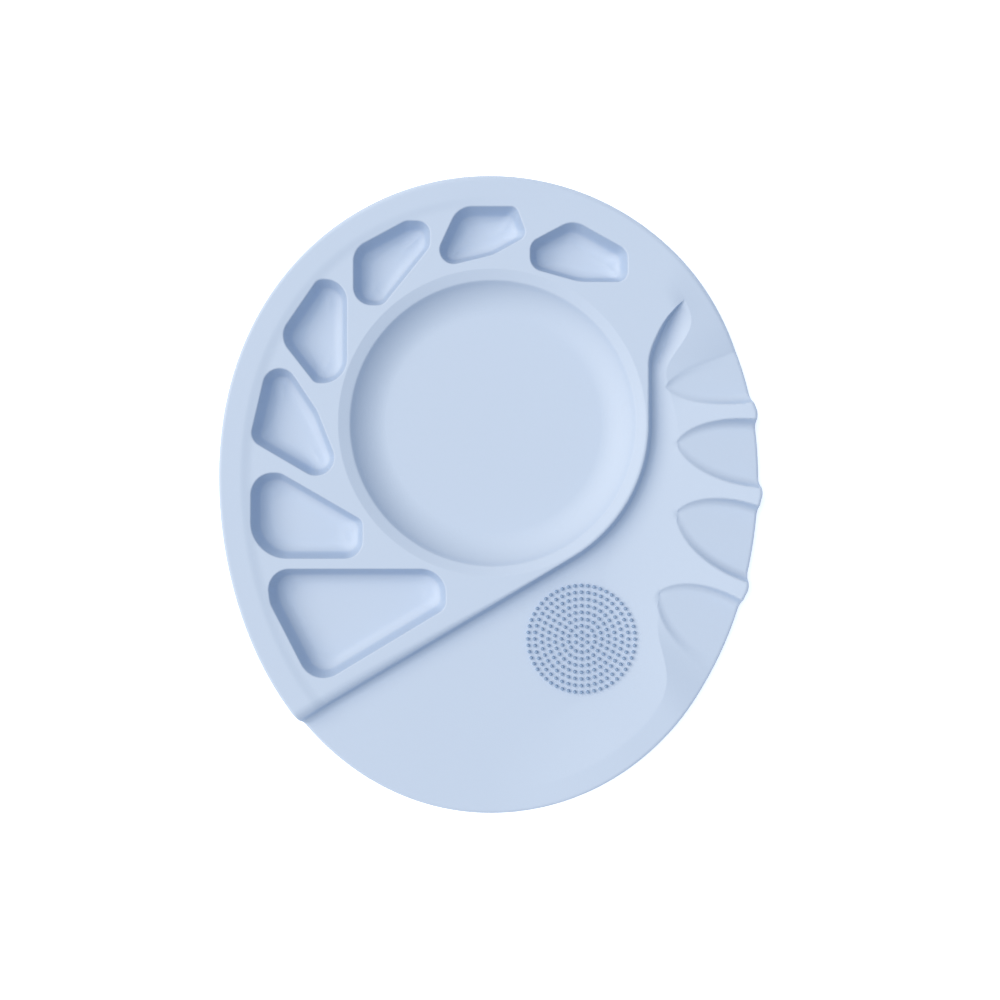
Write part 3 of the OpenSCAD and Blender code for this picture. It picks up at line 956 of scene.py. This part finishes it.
divide = mix(inner_edge(HOLLOW_A), step_plan[hollow_row, -1], np.linspace(0, 1, 22)[1:-1, None])
pad_rim = PAD_CENTRE + PAD_R * turn(np.arange(200) * 360 / 200)
lower_loop = np.concatenate([
    inner_edge(rim_a[rim_a >= front_a[-1]]),
    inner_edge(border_a[1:]),
    inner_edge(rest_a[(rest_a > -50) & (rest_a <= HOLLOW_A)]),
    divide,
    step_plan[hollow_row:0:-1, -1],
])
plate("lower_deck", lower_loop, [pad_rim], SLOT, "lower_deck")
hollow_loop = np.concatenate([
    inner_edge(rest_a[(rest_a >= HOLLOW_A) & (rest_a <= tip_a[-1])]),
    step_plan[-2 : hollow_row - 1 : -1, -1],
    divide[::-1],
])
plate("side_hollow", hollow_loop, [], SLOT, "side_hollow", spacing=0.7)
plate("scrub_pad", pad_rim, [], "scrub_silicone", "scrub_pad")
nubs()


# ---- floor, light and camera ----


def stage_floor():
    """A wide pale floor at table height."""
    half = 3.0
    mesh = bpy.data.meshes.new("floor")
    corners = [(-half, -half, 0), (half, -half, 0), (half, half, 0), (-half, half, 0)]
    mesh.from_pydata(corners, [], [(0, 1, 2, 3)])
    floor = bpy.data.objects.new("floor", mesh)
    bpy.context.scene.collection.objects.link(floor)
    material = bpy.data.materials.new("floor_white")
    material.use_nodes = True
    shader = material.node_tree.nodes["Principled BSDF"]
    shader.inputs["Base Color"].default_value = (0.93, 0.93, 0.93, 1)
    shader.inputs["Roughness"].default_value = 0.9
    shader.inputs["Specular IOR Level"].default_value = 0.0
    shader.inputs["Emission Color"].default_value = (1, 1, 1, 1)
    shader.inputs["Emission Strength"].default_value = 0.5
    floor.data.materials.append(material)


def soft_light(name, azimuth, elevation, spread, strength, color):
    """A distant soft light. azimuth is anticlockwise from +X, and spread is the angle its disc fills."""
    light = bpy.data.lights.new(name, "SUN")
    light.color = color
    light.angle = np.radians(spread)
    light.energy = strength
    lamp = bpy.data.objects.new(name, light)
    lamp.rotation_euler = Euler((0, np.radians(90 - elevation), np.radians(azimuth)), "XYZ")
    bpy.context.scene.collection.objects.link(lamp)


stage_floor()
soft_light("key", 162, 51, 54, 2.58, (1.0, 0.875, 0.703))
soft_light("front_fill", 210, 45, 50, 0.22, (1.0, 0.98, 1.0))
soft_light("overhead", 165, 82, 50, 0.34, (0.17, 0.58, 1.0))

world = bpy.data.worlds.new("studio")
world.use_nodes = True
world.node_tree.nodes["Background"].inputs["Color"].default_value = (0.795, 0.875, 1.0, 1)
world.node_tree.nodes["Background"].inputs["Strength"].default_value = 0.552
bpy.context.scene.world = world

camera = bpy.data.cameras.new("camera")
camera.sensor_width = 36.0
camera.lens = 51.54
camera.clip_end = 10.0
eye = bpy.data.objects.new("camera", camera)
eye.location = (0.00335, -0.00145, 0.565)
bpy.context.scene.collection.objects.link(eye)
bpy.context.scene.camera = eye
bpy.context.scene.view_settings.view_transform = "Standard"
